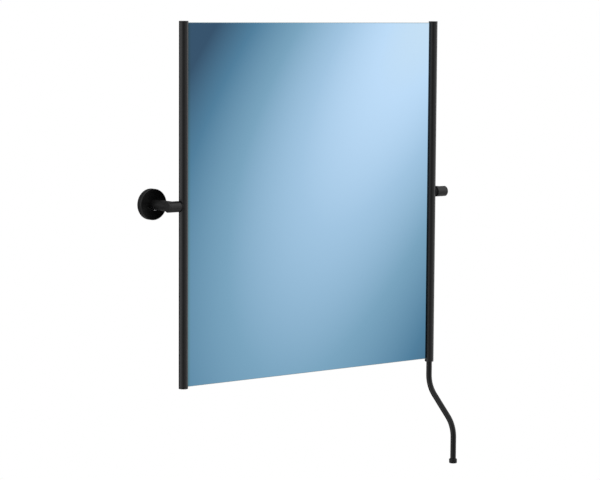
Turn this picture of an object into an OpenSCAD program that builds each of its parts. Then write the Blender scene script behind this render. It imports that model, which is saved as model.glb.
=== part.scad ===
// Pivot wall mirror: a pane between two round rails that tilts on two wall brackets.
// Frame: origin on the wall, midway between the brackets and level with the pivots.
// +X points right along the wall, +Y into the wall, +Z up. The mirror stands at -Y.
// Pieces that come in a left and a right copy are drawn once, for the right side, in a
// frame at the pivot line on the rail's axis, where +X points outward, away from the pane.

/* [Mirror] */
// Distance between the axes of the two rails
rail_spacing = 534; // [400:2:760]
// Height of the pane, which is also the cut length of the rails
pane_h = 595; // [400:5:900]
// Distance from the wall to the axis of the rails
wall_gap = 65; // [45:1:110]
// Thickness of the silvered glass
glass_t = 3; // [2:0.5:3.5]
// Thickness of the adhesive and safety film behind the glass
bond_t = 0.3; // [0.2:0.1:0.5]
// Thickness of the steel sheet behind the film
backing_t = 1; // [0.6:0.1:1.2]
// How far the glass front lies in front of the rail axis
pane_forward = 0.3; // [0:0.1:0.6]
// Distance from the rail axis to the side edge of the pane
pane_edge_reach = 4.5; // [4.2:0.1:4.8]
// Wall of the U strip round the side edge of the pane
gasket_t = 0.5; // [0.3:0.1:0.6]
// How far the U strip's lips stay inside the rail surface
gasket_recess = 0.4; // [0.2:0.1:0.8]

/* [Rails] */
// Outer diameter of the rail tubes
rail_d = 15.4; // [15:0.1:18]
// Wall of the rail tubes
rail_wall = 1.2; // [1:0.1:1.5]
// Thickness of the plug flanges at the rail ends
plug_flange_t = 2.5; // [1.5:0.5:5]
// Depth of the plugs inside the rails
plug_depth = 16; // [10:1:30]
// Rounding of the plug flanges
plug_round = 0.7; // [0.3:0.1:1]
// Length of the block inside each rail that takes the pivot shaft
insert_l = 40; // [24:2:80]

/* [Wall plates and rosettes] */
// Outer diameter of the rosettes
rosette_d = 51.5; // [46:0.5:70]
// Depth of the rosettes off the wall
rosette_depth = 10.4; // [8:0.2:16]
// Wall of the rosettes
rosette_wall = 1.5; // [1:0.1:2]
// Rounding of the rosette's front edge
rosette_round = 1; // [0.4:0.1:1.4]
// Thickness of the wall plates
plate_t = 3; // [2:0.5:4]
// Distance between the two screw holes of a wall plate
plate_hole_spacing = 30; // [28:1:34]
// Diameter of the screw holes
plate_hole_d = 5.5; // [4.5:0.1:6]
// Diameter of the countersinks on the screw holes
plate_sink_d = 9.5; // [7:0.5:10]
// Diameter of the spigot that carries the post
spigot_d = 12; // [10:0.5:12.5]
// Length of the spigot in front of the wall plate
spigot_l = 26; // [20:1:30]
// Depth of the groove round the spigot for the grub screw
spigot_groove = 0.8; // [0.5:0.1:1.2]

/* [Bracket arms] */
// Diameter of the round post
post_d = 17.5; // [17:0.1:17.8]
// How far the post's side stays short of the housing cap
post_inset = 0.15; // [0.05:0.05:2]
// Diameter of the pivot housing
housing_d = 18; // [17.9:0.1:22]
// Distance from the rail axis to the inner end of the housing
housing_start = 10; // [9.8:0.1:12]
// Distance from the rail axis to the outer face of the housing cap
housing_end = 32.4; // [32:0.2:40]
// Thickness of the housing cap's visible disc
cap_t = 2.5; // [1.5:0.1:3]
// Depth of the housing cap's spigot
cap_spigot_l = 2.4; // [1.5:0.1:2.6]
// Wall of the housing cap's spigot
cap_spigot_wall = 1; // [0.8:0.1:1.1]
// Rounding of the housing cap's edge
cap_round = 1; // [0.4:0.1:1.4]
// Diameter of the grub screw under the post
post_grub_d = 5; // [3:1:6]
// Distance from the rosette's front to the grub screw's axis
post_grub_gap = 3.6; // [3:0.2:6]
// How far the grub screw's rim stands out of the post
post_grub_proud = 0.5; // [0.1:0.1:1]
// Width of the grub screw's hexagon socket across its corners
post_grub_hex = 2.5; // [1.5:0.1:2.8]

/* [Pivots] */
// Diameter of the shaft's journal in the bush
journal_d = 8; // [7:0.5:8.5]
// Running clearance on the radius between journal and bush
journal_clearance = 0.05; // [0.02:0.01:0.1]
// Outer diameter of the bush
bush_d = 10; // [9.5:0.1:11]
// Length of the bush
bush_l = 10; // [8:0.5:10.5]
// Diameter of the shaft's threaded ends
thread_d = 6; // [5:0.5:6]
// Diameter of the shaft's collar on the rail
collar_d = 14; // [12:0.5:14.4]
// Thickness of the friction washer
friction_t = 0.7; // [0.5:0.1:0.8]
// Outer diameter of the friction washer
friction_d = 16; // [13:0.5:17]
// Bore of the housing behind the cap
chamber_d = 14; // [13.2:0.2:14.6]
// Thickness of the inner washer
inner_washer_t = 1; // [0.8:0.1:1.4]
// Thickness of the spring washer's sheet
spring_t = 0.7; // [0.4:0.1:0.8]
// Free height of the spring washer's cone
spring_cone_h = 0.8; // [0.4:0.1:0.9]
// Width across the flats of the lock nut
nut_flats = 10; // [9:0.5:10]
// Height of the lock nut
nut_h = 4; // [3:0.2:4.2]
// How far the thread shows past the lock nut
thread_past_nut = 0.5; // [0.2:0.1:0.6]

/* [Lever] */
// Thickness of the socket's flange below the rail
socket_flange_t = 5.5; // [4.5:0.5:10]
// Depth of the socket inside the rail
socket_depth = 28; // [20:1:50]
// Diameter of the lever rod
lever_d = 10; // [8:0.5:11]
// Depth of the rod's seat in the socket flange
lever_seat = 3.5; // [2:0.5:3.5]
// Length of the rod's threaded stud above its seat
lever_stud_l = 20; // [12:1:22]
// Length of the rod's upper straight stretch between its socket and the first bend
upper_l = 23.5; // [10:0.5:180]
// Radius of both bends, to the rod's axis
bend_r = 46.5; // [25:0.5:60]
// Angle of the slanted stretch to the vertical
bend_angle = 47; // [30:1:60]
// How far the lower stretch lies in front of the upper one
lever_forward = 67; // [64:1:110]
// Length of the lower straight stretch down to the tip's upper face
grip_l = 38.5; // [20:0.5:120]
// Diameter of the lever tip
tip_d = 14; // [13:0.5:22]
// Height of the lever tip
tip_h = 8; // [7:0.5:14]
// Depth of the rod in the tip
tip_seat = 5; // [3:0.5:5.5]
// Rounding of the lever tip's edges
tip_round = 1.5; // [0.5:0.1:1.6]
// Diameter of the grub screw at the back of the socket
lever_grub_d = 2.5; // [2:0.5:3]
// Width of that screw's hexagon socket across its corners
lever_grub_hex = 1.3; // [1:0.1:1.5]

/* [Clearances] */
// Gap on the radius between pieces that slide into each other
slip_gap = 0.1; // [0.05:0.05:0.2]
// Gap on the radius between pieces that are pressed or screwed together
press_gap = 0.02; // [0.01:0.01:0.05]
// Gap on the radius between the washers' bores and the thread
washer_gap = 0.2; // [0.1:0.05:0.3]
// Gap on the radius between the spring washer and the chamber
spring_side_gap = 0.6; // [0.3:0.1:0.8]
// Gap between the end of the pivot shaft and the U strip inside the rail
shaft_tip_gap = 1; // [0.5:0.1:1.5]
// Gap between the flat faces that turn on each other
thrust_gap = 0.05; // [0.03:0.01:0.1]
// Gap between the side of the rail and the collar's saddle
saddle_gap = 0.05; // [0.02:0.01:0.1]

/* [Hidden] */
$fn = 72;
eps = 0.5; // how far a cutting solid runs past the face it opens
bend_swell = 0.04; // how much thicker the rod is in its bends, so that the straights end in them
bend_lap = 0.5; // how far the straights of the rod run into its bends

rail_x = rail_spacing / 2;
rail_r = rail_d / 2;
rail_bore_d = rail_d - 2 * rail_wall;
rail_end_z = pane_h / 2;

pane_w = rail_spacing - 2 * pane_edge_reach;
glass_y = -pane_forward;
bond_y = glass_y + glass_t;
backing_y = bond_y + bond_t;
pane_back_y = backing_y + backing_t;
slot_y0 = glass_y - gasket_t;
slot_y1 = pane_back_y + gasket_t;
gasket_x0 = -(rail_r - gasket_recess);
gasket_x1 = -(pane_edge_reach - gasket_t);

plug_d = rail_bore_d - 2 * slip_gap;
plate_d = rosette_d - 2 * rosette_wall - 2 * slip_gap;
post_bore_d = spigot_d + 2 * slip_gap;
cap_x = housing_end - cap_t;
post_reach = cap_x - post_inset - post_d / 2;
post_grub_y = -(rosette_depth + post_grub_gap);
groove_d = spigot_d - 2 * spigot_groove;

collar_face = housing_start - friction_t - 2 * thrust_gap;
friction_x = collar_face + thrust_gap;
journal_bore_d = journal_d + 2 * journal_clearance;
bush_seat_d = bush_d + 2 * press_gap;
chamber_x = housing_start + bush_l;
journal_end = chamber_x - thrust_gap;
inner_washer_x = chamber_x + thrust_gap;
inner_washer_d = chamber_d - 2 * slip_gap;
washer_bore_d = thread_d + 2 * washer_gap;
spring_x = inner_washer_x + inner_washer_t + thrust_gap;
spring_d = chamber_d - 2 * spring_side_gap;
nut_x = spring_x + spring_cone_h + spring_t;
shaft_end = nut_x + nut_h + thread_past_nut;
cap_spigot_d = chamber_d - 2 * slip_gap;
thread_bore_d = thread_d + 2 * press_gap;
shaft_depth = pane_edge_reach - gasket_t - shaft_tip_gap;

socket_z = -(rail_end_z + socket_flange_t);
rod_top_z = socket_z + lever_seat;
rod_seat_d = lever_d + 2 * press_gap;
lever_grub_z = rod_top_z - slip_gap - lever_grub_d / 2;
bend_drop = bend_r * sin(bend_angle);
bend_shift = bend_r * (1 - cos(bend_angle));
slant_l = (lever_forward - 2 * bend_shift) / sin(bend_angle);
first_bend_z = socket_z - upper_l;
slant_z = first_bend_z - bend_drop;
second_bend_z = slant_z - slant_l * cos(bend_angle) - bend_drop;
tip_top_z = second_bend_z - grip_l;

// Colours
satin_black = "#242425";
bright_steel = "#b9bbbd";
black_steel = "#303133";
zinc_steel = "#9fa3a6";
bronze = "#b08a52";
black_rubber = "#1c1c1c";
black_nylon = "#1f1f20";
mirror_blue = "#8fbfe0";
film_grey = "#6f7377";

// Round bars along the three axes, from one coordinate to another
module bar_x(d, from, to) {
    translate([from, 0, 0]) rotate([0, 90, 0]) cylinder(d = d, h = to - from);
}
module bar_y(d, from, to) {
    translate([0, from, 0]) rotate([-90, 0, 0]) cylinder(d = d, h = to - from);
}
module bar_z(d, from, to) {
    translate([0, 0, from]) cylinder(d = d, h = to - from);
}

// Puts a right-hand piece at its side, mirrored for the left one
module at_side(side) {
    if (side == "left") {
        mirror([1, 0, 0]) translate([rail_x, -wall_gap, 0]) children();
    } else {
        translate([rail_x, -wall_gap, 0]) children();
    }
}

// The same, with the local frame's Y axis starting on the wall at the post's axis
module at_post(side) {
    at_side(side) translate([post_reach, wall_gap, 0]) children();
}

// Disc along Z from 0 to h with its upper rim rounded
module rounded_disc(d, h, round) {
    rotate_extrude() {
        square([d / 2 - round, h]);
        square([d / 2, h - round]);
        translate([d / 2 - round, h - round]) circle(r = round);
    }
}

// ---- Wall brackets ----

// Steel disc with two countersunk holes and the grooved spigot
module wall_plate(side) {
    color(zinc_steel) at_post(side) difference() {
        union() {
            bar_y(plate_d, -plate_t, 0);
            bar_y(spigot_d, -plate_t - spigot_l, -plate_t);
        }
        for (z = [-plate_hole_spacing / 2, plate_hole_spacing / 2]) {
            translate([0, 0, z]) bar_y(plate_hole_d, -plate_t - eps, eps);
            translate([0, -plate_t, z]) rotate([-90, 0, 0])
                cylinder(d1 = plate_sink_d, d2 = plate_hole_d, h = (plate_sink_d - plate_hole_d) / 2);
        }
        difference() {
            bar_y(spigot_d + 2 * eps, post_grub_y - post_grub_d / 2, post_grub_y + post_grub_d / 2);
            bar_y(groove_d, post_grub_y - post_grub_d, post_grub_y + post_grub_d);
        }
    }
}

// Round cover shell with a rounded front edge and a hole for the post
module rosette(side) {
    color(satin_black) at_post(side) rotate([90, 0, 0]) difference() {
        rounded_disc(rosette_d, rosette_depth, rosette_round);
        bar_z(rosette_d - 2 * rosette_wall, -eps, rosette_depth - rosette_wall);
        bar_z(post_d + 2 * slip_gap, 0, rosette_depth + eps);
    }
}

// Post off the wall plate, one piece with the pivot housing across its end
module bracket_arm(side) {
    color(satin_black) at_side(side) difference() {
        union() {
            translate([post_reach, 0, 0]) bar_y(post_d, 0, wall_gap - plate_t);
            bar_x(housing_d, housing_start, cap_x);
        }
        bar_x(bush_seat_d, housing_start - eps, chamber_x + eps);
        bar_x(chamber_d, chamber_x, cap_x + eps);
        translate([post_reach, wall_gap, 0]) {
            bar_y(post_bore_d, -plate_t - spigot_l - slip_gap, -plate_t + eps);
            translate([0, post_grub_y, 0]) bar_z(post_grub_d + 2 * press_gap, -post_d, 0);
        }
    }
}

// Grub screw from below into the spigot's groove, with a hex socket
module post_grub_screw(side) {
    color(bright_steel) at_post(side) translate([0, post_grub_y, 0]) difference() {
        bar_z(post_grub_d, -post_d / 2 - post_grub_proud, -groove_d / 2 - slip_gap);
        translate([0, 0, -post_d / 2 - post_grub_proud])
            cylinder(d = post_grub_hex, h = post_grub_hex, $fn = 6);
    }
}

// Plain bearing in the housing
module pivot_bush(side) {
    color(bronze) at_side(side) difference() {
        bar_x(bush_d, housing_start, chamber_x);
        bar_x(journal_bore_d, housing_start - eps, chamber_x + eps);
    }
}

// Disc between the shaft's collar and the housing
module friction_washer(side) {
    color(black_nylon) at_side(side) difference() {
        bar_x(friction_d, friction_x, friction_x + friction_t);
        bar_x(journal_bore_d, friction_x - eps, friction_x + friction_t + eps);
    }
}

// Steel disc on the shoulder at the bottom of the chamber
module inner_washer(side) {
    color(bright_steel) at_side(side) difference() {
        bar_x(inner_washer_d, inner_washer_x, inner_washer_x + inner_washer_t);
        bar_x(washer_bore_d, inner_washer_x - eps, inner_washer_x + inner_washer_t + eps);
    }
}

// Cap with a ring spigot that closes the housing's outer end
module housing_cap(side) {
    color(satin_black) at_side(side) difference() {
        union() {
            translate([cap_x, 0, 0]) rotate([0, 90, 0]) rounded_disc(housing_d, cap_t, cap_round);
            bar_x(cap_spigot_d, cap_x - cap_spigot_l, cap_x);
        }
        bar_x(cap_spigot_d - 2 * cap_spigot_wall, cap_x - cap_spigot_l - eps, cap_x);
    }
}

// ---- Pivots ----

// Shaft: saddle collar on the rail, journal in the bush, a thread at each end
module pivot_shaft(side) {
    color(black_steel) at_side(side) {
        difference() {
            bar_x(collar_d, 0, collar_face);
            bar_z(rail_d + 2 * saddle_gap, -collar_d, collar_d);
        }
        bar_x(thread_d, -shaft_depth, shaft_end);
        bar_x(journal_d, collar_face - eps, journal_end);
    }
}

// Cone washer between the inner washer and the nut
module spring_washer(side) {
    color(bright_steel) at_side(side) rotate([0, 90, 0]) rotate_extrude() polygon([
        [washer_bore_d / 2, spring_x + spring_cone_h],
        [spring_d / 2, spring_x],
        [spring_d / 2, spring_x + spring_t],
        [washer_bore_d / 2, spring_x + spring_cone_h + spring_t]
    ]);
}

// Hexagon nut that sets the friction
module lock_nut(side) {
    color(bright_steel) at_side(side) difference() {
        translate([nut_x, 0, 0]) rotate([0, 90, 0])
            cylinder(d = nut_flats / cos(30), h = nut_h, $fn = 6);
        bar_x(thread_bore_d, nut_x - eps, nut_x + nut_h + eps);
    }
}

// Box round the pane's edge, the U strip included, in a right-hand rail
module pane_edge_space(gap, from_z, to_z) {
    translate([-rail_d, slot_y0 - gap, from_z])
        cube([rail_d + gasket_x1 + gap, slot_y1 - slot_y0 + 2 * gap, to_z - from_z]);
}

// Block inside the rail that takes the shaft's thread
module rail_insert(side) {
    color(zinc_steel) at_side(side) difference() {
        bar_z(plug_d, -insert_l / 2, insert_l / 2);
        pane_edge_space(slip_gap, -insert_l, insert_l);
        bar_x(thread_bore_d, -plug_d, plug_d);
    }
}

// ---- Rails ----

// Round tube, slotted along its inner side, with a hole for the pivot shaft
module rail(side) {
    color(satin_black) at_side(side) difference() {
        bar_z(rail_d, -rail_end_z, rail_end_z);
        bar_z(rail_bore_d, -rail_end_z - eps, rail_end_z + eps);
        pane_edge_space(0, -rail_end_z - eps, rail_end_z + eps);
        bar_x(thread_bore_d, 0, rail_d);
    }
}

// U strip round the side edge of the pane
module edge_gasket(side) {
    color(black_rubber) at_side(side) translate([0, 0, -rail_end_z]) linear_extrude(pane_h)
        difference() {
            translate([gasket_x0, slot_y0]) square([gasket_x1 - gasket_x0, slot_y1 - slot_y0]);
            translate([gasket_x0 - eps, glass_y])
                square([gasket_x1 - gasket_t - gasket_x0 + eps, pane_back_y - glass_y]);
        }
}

// Plug in a tube end, drawn upward from the tube's upper end
module end_plug(flange_t, depth) {
    rounded_disc(rail_d, flange_t, plug_round);
    difference() {
        bar_z(plug_d, -depth, 0);
        pane_edge_space(slip_gap, -depth - eps, 0);
    }
}

module rail_top_plug(side) {
    color(satin_black) at_side(side) translate([0, 0, rail_end_z]) end_plug(plug_flange_t, plug_depth);
}

module rail_bottom_plug_left() {
    color(satin_black) at_side("left") mirror([0, 0, 1]) translate([0, 0, rail_end_z])
        end_plug(plug_flange_t, plug_depth);
}

// ---- Lever ----

// Deep plug at the bottom of the right rail, bored for the rod and its stud
module lever_socket() {
    color(satin_black) at_side("right") difference() {
        mirror([0, 0, 1]) translate([0, 0, rail_end_z]) end_plug(socket_flange_t, socket_depth);
        bar_z(rod_seat_d, socket_z - eps, rod_top_z);
        bar_z(thread_bore_d, rod_top_z - eps, rod_top_z + lever_stud_l + slip_gap);
        translate([0, 0, lever_grub_z]) bar_y(lever_grub_d + 2 * press_gap, 0, rail_d);
    }
}

module lever_grub_screw() {
    color(bright_steel) at_side("right") translate([0, 0, lever_grub_z]) difference() {
        bar_y(lever_grub_d, rod_seat_d / 2, rail_r);
        translate([0, rail_r, 0]) rotate([90, 0, 0])
            cylinder(d = lever_grub_hex, h = lever_grub_hex, $fn = 6);
    }
}

// One bend of the rod in the XY plane. The rod comes down along -Y to the origin and turns
// towards +X (turn = 1) or towards -X (turn = -1): a quarter ring cut off where the bend ends.
module rod_bend(turn) {
    translate([turn * bend_r, 0, 0]) difference() {
        rotate([0, 0, turn > 0 ? 180 : -90]) rotate_extrude(angle = 90)
            translate([bend_r, 0]) circle(d = lever_d + bend_swell);
        rotate([0, 0, turn * bend_angle]) translate([-2 * bend_r, -2 * bend_r, -lever_d])
            cube([4 * bend_r, 2 * bend_r, 2 * lever_d]);
    }
}

// Carries its children from the start of a bend to its end
module past_bend(turn) {
    translate([turn * bend_r, 0, 0]) rotate([0, 0, turn * bend_angle])
        translate([-turn * bend_r, 0, 0]) children();
}

// Straight stretch of the rod, down along Y from one coordinate to another
module rod_stretch(d, from, to) {
    translate([0, from, 0]) rotate([90, 0, 0]) cylinder(d = d, h = from - to);
}

// Rod: stud, straight, bend forward, slant, bend back, straight into the tip.
// Drawn with X forward and Y up, then stood up in the plane of the right rail.
module lever_rod() {
    color(satin_black) at_side("right") rotate([90, 0, -90]) {
        rod_stretch(thread_d, rod_top_z + lever_stud_l, rod_top_z);
        rod_stretch(lever_d, rod_top_z, first_bend_z - bend_lap);
        translate([0, first_bend_z, 0]) {
            rod_bend(1);
            past_bend(1) {
                rod_stretch(lever_d, bend_lap, -slant_l - bend_lap);
                translate([0, -slant_l, 0]) {
                    rod_bend(-1);
                    past_bend(-1) rod_stretch(lever_d, bend_lap, -grip_l - tip_seat);
                }
            }
        }
    }
}

// Round cap on the lever's end
module lever_tip() {
    color(satin_black) at_side("right") translate([0, -lever_forward, tip_top_z]) difference() {
        mirror([0, 0, 1]) rotate_extrude() {
            square([tip_d / 2 - tip_round, tip_h]);
            translate([0, tip_round]) square([tip_d / 2, tip_h - 2 * tip_round]);
            for (z = [tip_round, tip_h - tip_round])
                translate([tip_d / 2 - tip_round, z]) circle(r = tip_round);
        }
        bar_z(rod_seat_d, -tip_seat, eps);
    }
}

// ---- Pane ----

// One sheet of the pane, from its front face backward
module pane_sheet(front_y, thickness) {
    translate([-pane_w / 2, front_y - wall_gap, -rail_end_z]) cube([pane_w, thickness, pane_h]);
}

module mirror_glass() {
    color(mirror_blue) pane_sheet(glass_y, glass_t);
}

module bond_film() {
    color(film_grey) pane_sheet(bond_y, bond_t);
}

module backing_panel() {
    color(satin_black) pane_sheet(backing_y, backing_t);
}

wall_plate("left");  // wall_plate_left
wall_plate("right");  // wall_plate_right
rosette("left");  // rosette_left
rosette("right");  // rosette_right
bracket_arm("left");  // bracket_arm_left
bracket_arm("right");  // bracket_arm_right
post_grub_screw("left");  // post_grub_screw_left
post_grub_screw("right");  // post_grub_screw_right
pivot_bush("left");  // pivot_bush_left
pivot_bush("right");  // pivot_bush_right
friction_washer("left");  // friction_washer_left
friction_washer("right");  // friction_washer_right
inner_washer("left");  // inner_washer_left
inner_washer("right");  // inner_washer_right
housing_cap("left");  // housing_cap_left
housing_cap("right");  // housing_cap_right
pivot_shaft("left");  // pivot_shaft_left
pivot_shaft("right");  // pivot_shaft_right
spring_washer("left");  // spring_washer_left
spring_washer("right");  // spring_washer_right
lock_nut("left");  // lock_nut_left
lock_nut("right");  // lock_nut_right
rail_insert("left");  // rail_insert_left
rail_insert("right");  // rail_insert_right
rail("left");  // rail_left
rail("right");  // rail_right
edge_gasket("left");  // edge_gasket_left
edge_gasket("right");  // edge_gasket_right
rail_top_plug("left");  // rail_top_plug_left
rail_top_plug("right");  // rail_top_plug_right
rail_bottom_plug_left();
lever_socket();
lever_grub_screw();
lever_rod();
lever_tip();
mirror_glass();
bond_film();
backing_panel();
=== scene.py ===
import math

import bmesh
import bpy
from mathutils import Matrix, Vector


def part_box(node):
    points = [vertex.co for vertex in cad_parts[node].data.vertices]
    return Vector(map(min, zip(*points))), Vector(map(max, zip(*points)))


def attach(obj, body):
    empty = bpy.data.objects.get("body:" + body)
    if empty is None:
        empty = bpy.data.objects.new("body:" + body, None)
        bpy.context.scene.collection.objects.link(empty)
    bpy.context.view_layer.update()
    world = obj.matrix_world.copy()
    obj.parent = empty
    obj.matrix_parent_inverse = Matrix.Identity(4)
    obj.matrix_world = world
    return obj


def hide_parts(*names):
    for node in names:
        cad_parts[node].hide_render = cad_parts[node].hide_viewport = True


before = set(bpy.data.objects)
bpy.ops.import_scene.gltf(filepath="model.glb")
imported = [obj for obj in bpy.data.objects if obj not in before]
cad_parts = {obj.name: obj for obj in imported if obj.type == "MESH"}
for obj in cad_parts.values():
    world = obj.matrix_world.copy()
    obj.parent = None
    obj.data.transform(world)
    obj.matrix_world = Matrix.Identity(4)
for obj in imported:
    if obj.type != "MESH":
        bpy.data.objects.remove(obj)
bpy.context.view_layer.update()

# Pivot wall mirror, dressed in the order in which it is put together. Sizes are in metres, in
# the frame of the part: the wall is the plane y = 0, +Z is up, and the mirror stands at -Y.
# The line through both pivots lies along X at z = 0 and crosses the axes of the round rails.


# ---- Wall plates ------------------------------------------------------------------------
# Two turned steel discs, each with two countersunk holes for the wall screws and a grooved
# spigot for the post. Zinc plated: dull and slightly mottled, over faint rings from the lathe.

class Wire:
    """The output of a node. Sums and products of wires and numbers add Math nodes."""

    def __init__(self, nodes, socket):
        self.nodes = nodes
        self.socket = socket

    def math(self, operation, first, second=0.0):
        return self.nodes.node("ShaderNodeMath", {"operation": operation}, {0: first, 1: second})

    def __add__(self, other):
        return self.math("ADD", self, other)

    def __radd__(self, other):
        return self.math("ADD", other, self)

    def __sub__(self, other):
        return self.math("SUBTRACT", self, other)

    def __rsub__(self, other):
        return self.math("SUBTRACT", other, self)

    def __mul__(self, other):
        return self.math("MULTIPLY", self, other)

    def __rmul__(self, other):
        return self.math("MULTIPLY", other, self)

    def __truediv__(self, other):
        return self.math("DIVIDE", self, other)

    def __rtruediv__(self, other):
        return self.math("DIVIDE", other, self)

    def root(self):
        return self.math("SQRT", self)

    def wave(self):
        return self.math("SINE", self)

    def size(self):
        return self.math("ABSOLUTE", self)


class Nodes:
    """A node tree in the making: of a material, of the world or of a shape."""

    def __init__(self, tree):
        self.tree = tree
        tree.nodes.clear()

    def node(self, kind, settings=None, sockets=None, out=0):
        """Adds a node. Its settings are set first, then its sockets get values or wires."""
        made = self.tree.nodes.new(kind)
        for name, value in (settings or {}).items():
            if name == "stops":
                self.set_stops(made.color_ramp.elements, value)
            else:
                setattr(made, name, value)
        for key, value in (sockets or {}).items():
            if isinstance(value, Wire):
                self.tree.links.new(value.socket, made.inputs[key])
            else:
                made.inputs[key].default_value = value
        return Wire(self, made.outputs[out]) if made.outputs else None

    def set_stops(self, elements, stops):
        while len(elements) < len(stops):
            elements.new(1.0)
        for element, (place, colour) in zip(elements, stops):
            element.position = place
            element.color = colour

    def place(self, axis=None):
        """Object coordinates, which are metres in the frame of the part, or one of them."""
        point = self.node("ShaderNodeTexCoord", out="Object")
        return self.node("ShaderNodeSeparateXYZ", {}, {0: point}, out=axis) if axis else point

    def noise(self, size, detail=2.0, stretch=(1.0, 1.0, 1.0)):
        """Noise with grains of about this size in metres, from 0 to 1."""
        scaled = self.node("ShaderNodeMapping", {}, {"Vector": self.place(), "Scale": stretch})
        return self.node("ShaderNodeTexNoise", {},
                         {"Vector": scaled, "Scale": 1 / size, "Detail": detail})

    def spread(self, wire, low, high):
        """Carries 0.3 to 0.7, where most of a noise lies, to low and high."""
        return self.node("ShaderNodeMapRange", {}, {
            "Value": wire, "From Min": 0.3, "From Max": 0.7, "To Min": low, "To Max": high})

    def blend(self, share, first, second, way="MIX"):
        """A colour between two colours, or the first with this share of the second's effect."""
        share_in, first_in, second_in, colour_out = 0, 6, 7, 2
        return self.node("ShaderNodeMix", {"data_type": "RGBA", "blend_type": way},
                         {share_in: share, first_in: first, second_in: second}, out=colour_out)

    def bump(self, height, depth):
        """Normals of a surface whose height goes from 0 to depth in metres."""
        return self.node("ShaderNodeBump", {}, {"Height": height, "Distance": depth})

    def surface(self, sockets):
        """Ends a material's tree in a Principled surface."""
        shader = self.node("ShaderNodeBsdfPrincipled", {}, sockets)
        self.node("ShaderNodeOutputMaterial", {}, {"Surface": shader})


def material(name):
    """A new material and its node tree."""
    made = bpy.data.materials.new(name)
    made.use_nodes = True
    return made, Nodes(made.node_tree)


def new_piece(name, mesh, body, slot, *nodes):
    """Puts a mesh into the scene as a piece that rides on a body and stands for CAD nodes."""
    piece = bpy.data.objects.new(name, mesh)
    bpy.context.scene.collection.objects.link(piece)
    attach(piece, body)
    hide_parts(*nodes)
    return piece


def eased(node, body, slot, finish, edge, steps=2, hole_for=None):
    """A copy of a CAD node whose sharp edges are eased by this width, standing for the node.
    The hole for the CAD node hole_for keeps its sharp rim."""
    same_place = 0.000001
    same_plane = math.radians(0.2)
    sharp = math.radians(30)
    margin = Vector((0.0005, 0.0005, 0.0005))
    work = bmesh.new()
    work.from_mesh(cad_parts[node].data)
    bmesh.ops.remove_doubles(work, verts=work.verts, dist=same_place)
    bmesh.ops.dissolve_limit(work, angle_limit=same_plane, verts=work.verts, edges=work.edges)
    rim = set()
    if hole_for:
        low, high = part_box(hole_for)
        low, high = low - margin, high + margin
        rim = {v for v in work.verts if all(a < c < b for a, c, b in zip(low, v.co, high))}
    weight = work.edges.layers.float.new("bevel_weight_edge")
    for line in work.edges:
        if line.calc_face_angle(0.0) > sharp and not rim.issuperset(line.verts):
            line[weight] = 1.0
    mesh = bpy.data.meshes.new("blank_" + node)
    work.to_mesh(mesh)
    work.free()
    blank = bpy.data.objects.new("blank_" + node, mesh)
    bpy.context.scene.collection.objects.link(blank)
    bevel = blank.modifiers.new("edges", "BEVEL")
    bevel.width = edge
    bevel.segments = steps
    bevel.limit_method = "WEIGHT"
    bevel.miter_outer = "MITER_ARC"
    bevel.use_clamp_overlap = False
    normals = blank.modifiers.new("flats", "WEIGHTED_NORMAL")
    normals.keep_sharp = True
    blank.data.shade_smooth()
    worn = blank.evaluated_get(bpy.context.evaluated_depsgraph_get())
    mesh = bpy.data.meshes.new_from_object(worn)
    bpy.data.objects.remove(blank)
    mesh.name = "eased_" + node
    mesh.materials.clear()
    mesh.materials.append(finish)
    return new_piece("eased_" + node, mesh, body, slot, node)


zinc_dark = (0.42, 0.44, 0.45, 1.0)
zinc_light = (0.60, 0.61, 0.61, 1.0)
mottle_size = 0.006
speck_size = 0.0006
speck_depth = 0.00001
ring_pitch = 0.0005
ring_depth = 0.000006
plate_edge = 0.0003
plate_low, plate_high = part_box("wall_plate_right")
post_x = (plate_low.x + plate_high.x) / 2


def zinc_plating(name, turned):
    """Dull zinc, with rings from the lathe about the axis of each post where it is turned."""
    plating, tree = material(name)
    mottle = tree.noise(mottle_size, detail=4.0)
    height = tree.noise(speck_size)
    depth = speck_depth
    if turned:
        off_axis = tree.place("X").size() - post_x
        above_axis = tree.place("Z")
        turns = (off_axis * off_axis + above_axis * above_axis).root() / ring_pitch
        height = (turns * math.tau).wave() * 0.5 + 0.5 + height
        depth = ring_depth
    tree.surface({
        "Base Color": tree.blend(mottle, zinc_dark, zinc_light),
        "Metallic": 1.0,
        "Roughness": tree.spread(mottle, 0.34, 0.48),
        "Normal": tree.bump(height, depth),
    })
    return plating


zinc = zinc_plating("dull_zinc_plating", False)
turned_zinc = zinc_plating("zinc_over_lathe_rings", True)
for side in ("left", "right"):
    eased("wall_plate_" + side, "wall_brackets", "zinc_plated_steel", turned_zinc, plate_edge)


# ---- Rosettes, posts and housings --------------------------------------------------------
# A pressed steel cover with a rounded rim, a round post through it and the pivot housing
# across the post's end, welded to it and closed by a cap. All have the same satin black
# powder coat, with a fine orange peel and a little variation in its gloss.

coat_dark = (0.0020, 0.0020, 0.0021, 1.0)
coat_light = (0.0034, 0.0034, 0.0036, 1.0)
peel_size = 0.0009
peel_depth = 0.00001
grain_size = 0.00025
grain_share = 0.2
drift_size = 0.03
satin_shine = 0.34
cover_edge = 0.0003
arm_edge = 0.00012
post_radius = 0.00875
housing_radius = 0.009
rail_low, rail_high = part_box("rail_right")
pivot_y = (rail_low.y + rail_high.y) / 2


def powder_coat(name, shine):
    """A black powder coat that reflects this much."""
    coat, tree = material(name)
    peel = tree.noise(peel_size)
    grain = tree.noise(grain_size)
    drift = tree.noise(drift_size, detail=3.0)
    tree.surface({
        "Base Color": tree.blend(drift, coat_dark, coat_light),
        "Roughness": tree.spread(drift, 0.28, 0.34),
        "Specular IOR Level": shine,
        "Normal": tree.bump(peel + grain * grain_share, peel_depth),
    })
    return coat


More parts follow.
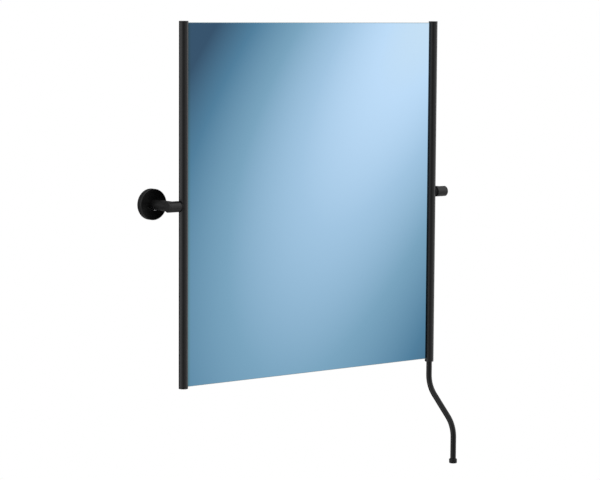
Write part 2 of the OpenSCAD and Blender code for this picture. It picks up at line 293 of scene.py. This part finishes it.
def trued(mesh, centre, axis, radius, slack=0.98):
    """Shades the faces on a mesh's round wall as truly round, also next to a hole in it. A
    slack closer to 1 leaves out the faces of a rounded edge."""
    sagitta = 0.00003

    def spoke(point):
        off = point - centre
        return off - axis * off.dot(axis)

    normals = [corner.vector.copy() for corner in mesh.corner_normals]
    for face in mesh.polygons:
        out = spoke(face.center)
        if abs(out.length - radius) < sagitta and face.normal.dot(out.normalized()) > slack:
            for corner in face.loop_indices:
                point = mesh.vertices[mesh.loops[corner].vertex_index].co
                normals[corner] = spoke(point).normalized()
    mesh.normals_split_custom_set(normals)


satin_black = powder_coat("satin_black_coat", satin_shine)
for side, hand in (("left", -1), ("right", 1)):
    eased("rosette_" + side, "wall_brackets", "satin_black_coat", satin_black, cover_edge)
    eased("housing_cap_" + side, "wall_brackets", "satin_black_coat", satin_black, cover_edge)
    arm = eased("bracket_arm_" + side, "wall_brackets", "satin_black_coat", satin_black, arm_edge,
                hole_for="post_grub_screw_" + side)
    trued(arm.data, Vector((hand * post_x, 0.0, 0.0)), Vector((0.0, 1.0, 0.0)), post_radius)
    trued(arm.data, Vector((0.0, pivot_y, 0.0)), Vector((1.0, 0.0, 0.0)), housing_radius)


# ---- Pivot hardware in the housings ------------------------------------------------------
# A sintered bronze bush, a black nylon friction washer, a turned washer, a cone washer and
# the nut that sets the friction. A grub screw under each post holds it on its wall plate.

bright_dark = (0.57, 0.58, 0.59, 1.0)
bright_light = (0.67, 0.68, 0.69, 1.0)
marks_size = 0.0008
marks_depth = 0.000008
bronze_dark = (0.30, 0.17, 0.07, 1.0)
bronze_light = (0.50, 0.31, 0.13, 1.0)
pore_size = 0.0005
pore_depth = 0.00001
nylon_dark = (0.010, 0.010, 0.010, 1.0)
nylon_light = (0.018, 0.018, 0.019, 1.0)
haze_size = 0.004
hardware_edge = 0.0003
washer_edge = 0.0001


def lathe_marks(tree):
    """Fine marks that run across X, the axis on which these pieces are turned."""
    return tree.noise(marks_size, detail=3.0, stretch=(1.0, 0.05, 0.05))


bright, tree = material("bright_turned_steel")
marks = lathe_marks(tree)
tree.surface({
    "Base Color": tree.blend(marks, bright_dark, bright_light),
    "Metallic": 1.0,
    "Roughness": tree.spread(marks, 0.20, 0.32),
    "Normal": tree.bump(marks, marks_depth),
})
bronze, tree = material("sintered_bronze")
pores = tree.noise(pore_size, detail=3.0)
tree.surface({
    "Base Color": tree.blend(tree.spread(pores, 0.0, 1.0), bronze_dark, bronze_light),
    "Metallic": 1.0,
    "Roughness": tree.spread(pores, 0.45, 0.32),
    "Normal": tree.bump(pores, pore_depth),
})
nylon, tree = material("black_nylon")
haze = tree.noise(haze_size, detail=3.0)
tree.surface({
    "Base Color": tree.blend(haze, nylon_dark, nylon_light),
    "Roughness": tree.spread(haze, 0.5, 0.62),
})
for side in ("left", "right"):
    eased("pivot_bush_" + side, "wall_brackets", "bearing_bronze", bronze, hardware_edge)
    eased("friction_washer_" + side, "wall_brackets", "friction_nylon", nylon, washer_edge)
    eased("inner_washer_" + side, "wall_brackets", "bright_steel", bright, washer_edge)
    eased("post_grub_screw_" + side, "wall_brackets", "bright_steel", bright, hardware_edge)
    eased("spring_washer_" + side, "mirror_frame", "bright_steel", bright, washer_edge)
    eased("lock_nut_" + side, "mirror_frame", "bright_steel", bright, hardware_edge)


# ---- Pivot shafts ------------------------------------------------------------------------
# Turned from one bar with a black oxide finish: a thread that screws into the block inside
# the rail, a collar whose saddle sits on the rail, the journal, and a thread for the nut.

oxide_dark = (0.004, 0.004, 0.004, 1.0)
oxide_light = (0.007, 0.007, 0.008, 1.0)
oxide_shine = 0.12
thread_pitch = 0.001
thread_depth = 0.0006
thread_radius = 0.003
thread_steps = 24
core_radius = thread_radius - thread_depth
journal_radius = 0.004
collar_radius = 0.007
saddle_shares = (0.25, 0.5, 0.7, 0.85, 0.95, 1.0)
chamfer = 0.0003
clearance = 0.00005
rail_x = (rail_low.x + rail_high.x) / 2
saddle_radius = (rail_high.x - rail_low.x) / 2 + clearance
shaft_low, shaft_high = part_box("pivot_shaft_right")
inner_end = shaft_low.x - rail_x
outer_end = shaft_high.x - rail_x
collar_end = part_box("friction_washer_right")[0].x - rail_x - clearance
journal_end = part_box("pivot_bush_right")[1].x - rail_x - clearance


def spun(profile, finish, steps=48):
    """A solid of revolution about X. The profile goes from the axis round to the axis, and
    each of its points is a place along X, or what gives it from y, and a radius."""
    work = bmesh.new()
    rings = []
    for along, radius in profile:
        count = steps if radius else 1
        ring = []
        for step in range(count):
            y = radius * math.cos(math.tau * step / steps)
            z = radius * math.sin(math.tau * step / steps)
            x = along(y) if callable(along) else along
            ring.append(work.verts.new((x, y, z)))
        rings.append(ring)
    for ring, following in zip(rings, rings[1:]):
        for step in range(steps):
            corners = [ring[step % len(ring)], ring[(step + 1) % len(ring)],
                       following[(step + 1) % len(following)], following[step % len(following)]]
            work.faces.new(list(dict.fromkeys(corners)))
    bmesh.ops.recalc_face_normals(work, faces=work.faces)
    mesh = bpy.data.meshes.new("spun")
    work.to_mesh(mesh)
    work.free()
    mesh.materials.append(finish)
    return mesh


def grown(base, shape, values):
    """The plain mesh that a shape tree makes of a base mesh with these input values."""
    stock = bpy.data.objects.new("stock", base)
    bpy.context.scene.collection.objects.link(stock)
    modifier = stock.modifiers.new("shape", "NODES")
    modifier.node_group = shape
    for item in shape.interface.items_tree:
        if item.name in values:
            modifier[item.identifier] = values[item.name]
    done = stock.evaluated_get(bpy.context.evaluated_depsgraph_get())
    mesh = bpy.data.meshes.new_from_object(done)
    bpy.data.objects.remove(stock)
    return mesh


def joined(name, parts):
    """One smooth mesh from parts, each a mesh of one finish and the matrix that places it."""
    sharp = math.radians(30)
    finishes = list(dict.fromkeys(mesh.materials[0] for mesh, place in parts))
    work = bmesh.new()
    for mesh, place in parts:
        before = len(work.faces)
        mesh.transform(place)
        work.from_mesh(mesh)
        work.faces.ensure_lookup_table()
        for face in work.faces[before:]:
            face.material_index = finishes.index(mesh.materials[0])
            face.smooth = True
    whole = bpy.data.meshes.new(name)
    work.to_mesh(whole)
    work.free()
    for finish in finishes:
        whole.materials.append(finish)
    whole.set_sharp_from_angle(angle=sharp)
    return whole


def shape_tree(name, inputs):
    """A Geometry Nodes tree with these inputs, one more for its finish and one output."""
    made = bpy.data.node_groups.new(name, "GeometryNodeTree")
    for title, kind in inputs.items():
        made.interface.new_socket(title, in_out="INPUT", socket_type=kind)
    made.interface.new_socket("Finish", in_out="INPUT", socket_type="NodeSocketMaterial")
    made.interface.new_socket("Shape", in_out="OUTPUT", socket_type="NodeSocketGeometry")
    return made, Nodes(made)


def end_shape(tree, shape):
    """Ends a shape tree in real faces of its finish."""
    real = tree.node("GeometryNodeRealizeInstances", {}, {0: shape})
    coated = tree.node("GeometryNodeSetMaterial", {}, {
        "Geometry": real, "Material": tree.node("NodeGroupInput", out="Finish")})
    tree.node("NodeGroupOutput", {}, {"Shape": coated})


# The ridge of a thread: a triangle that climbs along a helix about Z, from z = 0 upward. Its
# corners stand two thirds of its height from its middle.
thread_shape, tree = shape_tree("thread_ridge", {
    "Length": "NodeSocketFloat", "Pitch": "NodeSocketFloat",
    "Outer radius": "NodeSocketFloat", "Depth": "NodeSocketFloat"})
pitch = tree.node("NodeGroupInput", out="Pitch")
outer = tree.node("NodeGroupInput", out="Outer radius")
depth = tree.node("NodeGroupInput", out="Depth")
climb = tree.node("NodeGroupInput", out="Length") - pitch
to_corner = depth * (2 / 3)
to_middle = outer - to_corner
helix = tree.node("GeometryNodeCurveSpiral", {}, {
    "Resolution": thread_steps, "Rotations": climb / pitch, "Start Radius": to_middle,
    "End Radius": to_middle, "Height": climb})
upright = tree.node("GeometryNodeSetCurveNormal", {"mode": "Z_UP"}, {"Curve": helix})
triangle = tree.node("GeometryNodeCurvePrimitiveCircle", {}, {
    "Resolution": 3, "Radius": to_corner})
ridge = tree.node("GeometryNodeCurveToMesh", {}, {
    "Curve": upright, "Profile Curve": triangle, "Fill Caps": True})
lifted = tree.node("GeometryNodeTransform", {}, {
    "Geometry": ridge, "Translation": tree.node("ShaderNodeCombineXYZ", {}, {"Z": pitch / 2})})
end_shape(tree, lifted)


def thread(length, finish):
    """The ridge of a thread of this length on the core of a shaft or a stud."""
    return grown(bpy.data.meshes.new("blank"), thread_shape, {
        "Length": length, "Pitch": thread_pitch, "Outer radius": thread_radius,
        "Depth": thread_depth, "Finish": finish})


def on_rail(y):
    """Where the saddle lies on the rail."""
    return math.sqrt(saddle_radius ** 2 - y ** 2)


blackened, tree = material("blackened_turned_steel")
marks = lathe_marks(tree)
tree.surface({
    "Base Color": tree.blend(marks, oxide_dark, oxide_light),
    "Roughness": tree.spread(marks, 0.40, 0.52),
    "Specular IOR Level": oxide_shine,
    "Normal": tree.bump(marks, marks_depth),
})
collar = [(on_rail, 0.0)]
collar += [(on_rail, collar_radius * share) for share in saddle_shares]
collar += [(collar_end - chamfer, collar_radius), (collar_end, collar_radius - chamfer),
           (collar_end, 0.0)]
stem = [(inner_end, 0.0), (inner_end, core_radius), (saddle_radius, core_radius),
        (saddle_radius, journal_radius), (journal_end - chamfer, journal_radius),
        (journal_end, journal_radius - chamfer), (journal_end, core_radius),
        (outer_end, core_radius), (outer_end, 0.0)]
for side, hand in (("left", -1), ("right", 1)):
    turned = Matrix.Rotation(math.pi if hand < 0 else 0.0, 4, "Z")
    at_pivot = Matrix.Translation((hand * rail_x, pivot_y, 0.0)) @ turned
    parts = [(spun(collar, blackened), at_pivot), (spun(stem, blackened), at_pivot)]
    for start, end in ((inner_end, saddle_radius), (journal_end, outer_end)):
        along_x = Matrix.Translation((start, 0.0, 0.0)) @ Matrix.Rotation(math.pi / 2, 4, "Y")
        parts.append((thread(end - start, blackened), at_pivot @ along_x))
    new_piece("turned_shaft_" + side, joined("turned_shaft_" + side, parts),
              "mirror_frame", "blackened_steel", "pivot_shaft_" + side)


# ---- Rails -------------------------------------------------------------------------------
# Round steel tubes, slotted along their inner side for the pane, with a plug in each end and
# a plated block for the pivot shaft halfway up. The same satin black coat. A soft U strip
# holds the pane's edge in the slot.

rubber_dark = (0.009, 0.009, 0.009, 1.0)
rubber_light = (0.014, 0.014, 0.014, 1.0)
rubber_grain = 0.0012
rubber_depth = 0.00002
rail_edge = 0.00025
plug_edge = 0.0003
strip_edge = 0.00015
block_edge = 0.00012

rubber, tree = material("black_rubber")
grain = tree.noise(rubber_grain, detail=3.0)
tree.surface({
    "Base Color": tree.blend(grain, rubber_dark, rubber_light),
    "Roughness": tree.spread(grain, 0.7, 0.85),
    "Normal": tree.bump(grain, rubber_depth),
})
for side in ("left", "right"):
    eased("rail_" + side, "mirror_frame", "satin_black_coat", satin_black, rail_edge,
          hole_for="pivot_shaft_" + side)
    eased("rail_top_plug_" + side, "mirror_frame", "satin_black_coat", satin_black, plug_edge)
    eased("edge_gasket_" + side, "mirror_frame", "black_rubber", rubber, strip_edge)
    eased("rail_insert_" + side, "mirror_frame", "zinc_plated_steel", zinc, block_edge,
          hole_for="pivot_shaft_" + side)
eased("rail_bottom_plug_left", "mirror_frame", "satin_black_coat", satin_black, plug_edge)


# ---- Pane --------------------------------------------------------------------------------
# Float glass, silvered on its back, with ground and polished edges. Behind it come the
# adhesive safety film and a black sheet steel backing, all of the same size.

def seen(red, green, blue):
    """Linear colour of a screen colour given from 0 to 255."""
    shares = [c / 255 for c in (red, green, blue)]
    return [c / 12.92 if c < 0.04 else ((c + 0.055) / 1.055) ** 2.4 for c in shares] + [1.0]


# Painted reflection: the mirror's colour holds the blue of a studio it would reflect. It is
# palest along a ridge that leans and bows over the pane, and darker away from it. Along the ridge
# the tone rises with height. The left edge is darker and greener.
ridge_foot = 0.071
ridge_lean = 0.529
ridge_bow = 0.518
ridge_reach = 0.661
ridge_tone = 0.744
tone_rise = 0.335
tone_bow = -0.280
painted_reflection_tones = [
    (0.307, seen(56, 84, 109)),
    (0.464, seen(81, 127, 157)),
    (0.614, seen(122, 165, 192)),
    (0.726, seen(161, 197, 226)),
    (0.793, seen(189, 220, 248)),
    (0.859, seen(211, 231, 241)),
]
edge_green = (0.84, 0.86, 0.70, 1.0)
edge_green_start = -0.2520
edge_green_end = -0.2580
silver_rough = 0.02
polish_dark = seen(90, 122, 128)
polish_light = seen(102, 134, 140)
polish_coat = 0.5
streak_size = 0.002
film_dark = (0.13, 0.14, 0.15, 1.0)
film_light = (0.19, 0.20, 0.21, 1.0)
weave_size = 0.0015
arris = 0.0008
front_slack = 0.001
film_edge = 0.00005
panel_edge = 0.0002

# A mirror whose base colour is a painted reflection, a blue gradient laid over the pane.
painted_reflection, tree = material("mirror_with_painted_reflection")
across = tree.place("X")
height = tree.place("Z")
ridge_x = ridge_foot + height * ridge_lean + height * height * ridge_bow
off_ridge = (across - ridge_x) / ridge_reach
tone = ridge_tone + height * tone_rise + height * height * tone_bow - off_ridge * off_ridge
painted_reflection_blues = tree.node("ShaderNodeValToRGB", {"stops": painted_reflection_tones}, {0: tone})
edge_share = tree.node("ShaderNodeMapRange", {"interpolation_type": "SMOOTHSTEP"}, {
    "Value": across, "From Min": edge_green_start, "From Max": edge_green_end})
painted_reflection_colour = tree.blend(edge_share, painted_reflection_blues, edge_green, "MULTIPLY")
tree.surface({"Base Color": painted_reflection_colour, "Metallic": 1.0, "Roughness": silver_rough})

polished, tree = material("polished_glass_edge")
streaks = tree.noise(streak_size, detail=3.0)
tree.surface({
    "Base Color": tree.blend(streaks, polish_dark, polish_light),
    "Roughness": tree.spread(streaks, 0.08, 0.16),
    "Coat Weight": polish_coat,
})
film, tree = material("grey_film")
weave = tree.noise(weave_size, detail=3.0)
tree.surface({
    "Base Color": tree.blend(weave, film_dark, film_light),
    "Roughness": tree.spread(weave, 0.6, 0.75),
})

low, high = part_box("mirror_glass")
work = bmesh.new()
bmesh.ops.create_cube(work, size=1.0)
bmesh.ops.scale(work, vec=high - low, verts=work.verts)
bmesh.ops.translate(work, vec=(low + high) / 2, verts=work.verts)
front = [e for e in work.edges if all(abs(v.co.y - low.y) < arris for v in e.verts)]
bmesh.ops.bevel(work, geom=front, offset=arris, segments=1, affect="EDGES")
for face in work.faces:
    face.material_index = 0 if abs(face.normal.y + 1) < front_slack else 1
mesh = bpy.data.meshes.new("mirror_pane")
work.to_mesh(mesh)
work.free()
mesh.materials.append(painted_reflection)
mesh.materials.append(polished)
new_piece("mirror_pane", mesh, "mirror_frame", "mirror_glass", "mirror_glass")
eased("bond_film", "mirror_frame", "bond_film", film, film_edge)
eased("backing_panel", "mirror_frame", "satin_black_coat", satin_black, panel_edge)


# ---- Lever -------------------------------------------------------------------------------
# A steel rod with two equal bends, its threaded stud screwed into a socket in the foot of the
# right-hand rail and its end in a round tip, all coated like the rails. A grub screw at the
# back of the socket keeps the rod from turning.

lever_shine = 0.22
rod_radius = 0.005
rod_steps = 48
bend_radius = 0.0465
bend_angle = math.radians(47)
bend_steps = 24
upper_straight = 0.0235
stud_length = 0.020
tip_edge = 0.0003
screw_edge = 0.0002
socket_edge = 0.00008
rod_low, rod_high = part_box("lever_rod")
socket_low, socket_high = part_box("lever_socket")
socket_radius = (socket_high.x - socket_low.x) / 2
seat_z = rod_high.z - stud_length
grip_y = rod_low.y + rod_radius
bend_reach = bend_radius * math.tan(bend_angle / 2)
forward = pivot_y - grip_y
first_corner = Vector((rail_x, pivot_y, socket_low.z - upper_straight - bend_reach))
second_corner = Vector((rail_x, grip_y, first_corner.z - forward / math.tan(bend_angle)))

rod_shape, tree = shape_tree("bent_rod", {
    "Route": "NodeSocketGeometry", "Bend radius": "NodeSocketFloat",
    "Bend steps": "NodeSocketInt", "Rod radius": "NodeSocketFloat"})
route = tree.node("GeometryNodeMeshToCurve", {}, {
    "Mesh": tree.node("NodeGroupInput", out="Route")})
bent = tree.node("GeometryNodeFilletCurve", {"mode": "POLY"}, {
    "Curve": route, "Count": tree.node("NodeGroupInput", out="Bend steps"),
    "Radius": tree.node("NodeGroupInput", out="Bend radius")})
section = tree.node("GeometryNodeCurvePrimitiveCircle", {}, {
    "Resolution": rod_steps, "Radius": tree.node("NodeGroupInput", out="Rod radius")})
bar = tree.node("GeometryNodeCurveToMesh", {}, {
    "Curve": bent, "Profile Curve": section, "Fill Caps": True})
end_shape(tree, bar)

lever_black = powder_coat("lever_black_coat", lever_shine)
route = bpy.data.meshes.new("rod_route")
route.from_pydata([(rail_x, pivot_y, seat_z), first_corner, second_corner,
                   (rail_x, grip_y, rod_low.z)], [(0, 1), (1, 2), (2, 3)], [])
rod = grown(route, rod_shape, {
    "Bend radius": bend_radius, "Bend steps": bend_steps, "Rod radius": rod_radius,
    "Finish": lever_black})
stud = spun([(0.0, 0.0), (0.0, core_radius), (stud_length - chamfer, core_radius),
             (stud_length, core_radius - chamfer), (stud_length, 0.0)], bright)
on_seat = Matrix.Translation((rail_x, pivot_y, seat_z))
upward = Matrix.Rotation(-math.pi / 2, 4, "Y")
parts = [(rod, Matrix.Identity(4)), (stud, on_seat @ upward),
         (thread(stud_length, bright), on_seat)]
new_piece("bent_rod", joined("bent_rod", parts), "mirror_frame", "satin_black_coat", "lever_rod")
eased("lever_tip", "mirror_frame", "satin_black_coat", lever_black, tip_edge)
eased("lever_grub_screw", "mirror_frame", "bright_steel", bright, screw_edge)
socket = eased("lever_socket", "mirror_frame", "satin_black_coat", satin_black, socket_edge,
               steps=1, hole_for="lever_grub_screw")
trued(socket.data, Vector((rail_x, pivot_y, 0.0)), Vector((0.0, 0.0, 1.0)), socket_radius,
      slack=0.998)


# ---- Studio ------------------------------------------------------------------------------
# A pale floor at the height where the room's floor would be, soft white light from all round
# with a few wide patches that are dimmer or brighter, and the camera at the photograph's
# angle.

floor_grey = (0.62, 0.62, 0.62, 1.0)
floor_rough = 0.6
floor_drop = -1.25
floor_forward = -1.6
floor_size = 2.4
floor_fade = 0.9
floor_margin = 0.5
floor_sides = 96

floor_paint, tree = material("pale_floor")
reach = tree.node("ShaderNodeVectorMath", {"operation": "LENGTH"}, {0: tree.place()}, out="Value")
fade = tree.node("ShaderNodeMapRange", {"interpolation_type": "SMOOTHSTEP"}, {
    "Value": reach, "From Min": floor_size, "From Max": floor_size + floor_fade,
    "To Min": 1.0, "To Max": 0.0})
tree.surface({"Base Color": floor_grey, "Roughness": floor_rough, "Alpha": fade})
work = bmesh.new()
bmesh.ops.create_circle(work, cap_ends=True, segments=floor_sides,
                        radius=floor_size + floor_fade + floor_margin)
mesh = bpy.data.meshes.new("floor")
work.to_mesh(mesh)
work.free()
mesh.materials.append(floor_paint)
floor = bpy.data.objects.new("floor", mesh)
floor.location = (0.0, floor_forward, floor_drop)
bpy.context.scene.collection.objects.link(floor)

# Each patch of light: how much it adds, its direction, and the angles from there, in degrees,
# within which it is full and beyond which it is gone.
light_patches = (
    (-0.64, (-0.52, -0.85, -0.10), 5, 38),   # dim behind the camera
    (-0.84, (0.28, 0.92, -0.10), 50, 75),    # dim on the wall's side
    (1.15, (-0.95, 0.30, 0.15), 10, 34),     # bright on the left, for the rails' left flanks
    (0.95, (0.95, -0.30, 0.10), 8, 26),      # bright on the right, for their right flanks
    (0.50, (0.62, -0.60, 0.60), 8, 32),      # bright in front, high on the right
    (0.30, (0.00, -0.30, 1.00), 20, 50),     # bright overhead
)
white = (1.0, 1.0, 1.0, 1.0)
world = bpy.data.worlds.new("studio")
world.use_nodes = True
bpy.context.scene.world = world
tree = Nodes(world.node_tree)
direction = tree.node("ShaderNodeTexCoord", out="Generated")
light = 1.0
for gain, towards, full, gone in light_patches:
    along = tree.node("ShaderNodeVectorMath", {"operation": "DOT_PRODUCT"},
                      {0: direction, 1: Vector(towards).normalized()}, out="Value")
    share = tree.node("ShaderNodeMapRange", {"interpolation_type": "SMOOTHSTEP"}, {
        "Value": along, "From Min": math.cos(math.radians(gone)),
        "From Max": math.cos(math.radians(full)), "To Min": 0.0, "To Max": 1.0})
    light = light + gain * share
for_camera = tree.node("ShaderNodeLightPath", out="Is Camera Ray")
background = tree.node("ShaderNodeBackground", {}, {
    "Color": white, "Strength": light * (1.0 - for_camera) + for_camera})
tree.node("ShaderNodeOutputWorld", {}, {"Surface": background})

picture_width = 600
focal_in_pixels = 2283.21
camera_place = (-2.39219, -3.09497, 0.32164)
camera_yaw = math.radians(37.982)
camera_pitch = math.radians(-5.801)
camera_roll = math.radians(0.349)
lens = bpy.data.cameras.new("camera")
lens.sensor_width = 36.0
lens.lens = lens.sensor_width * focal_in_pixels / picture_width
camera = bpy.data.objects.new("camera", lens)
camera.matrix_world = (Matrix.Translation(camera_place)
                       @ Matrix.Rotation(-camera_yaw, 4, "Z")
                       @ Matrix.Rotation(math.pi / 2 + camera_pitch, 4, "X")
                       @ Matrix.Rotation(camera_roll, 4, "Z"))
bpy.context.scene.collection.objects.link(camera)
bpy.context.scene.camera = camera
bpy.context.scene.view_settings.view_transform = "Standard"
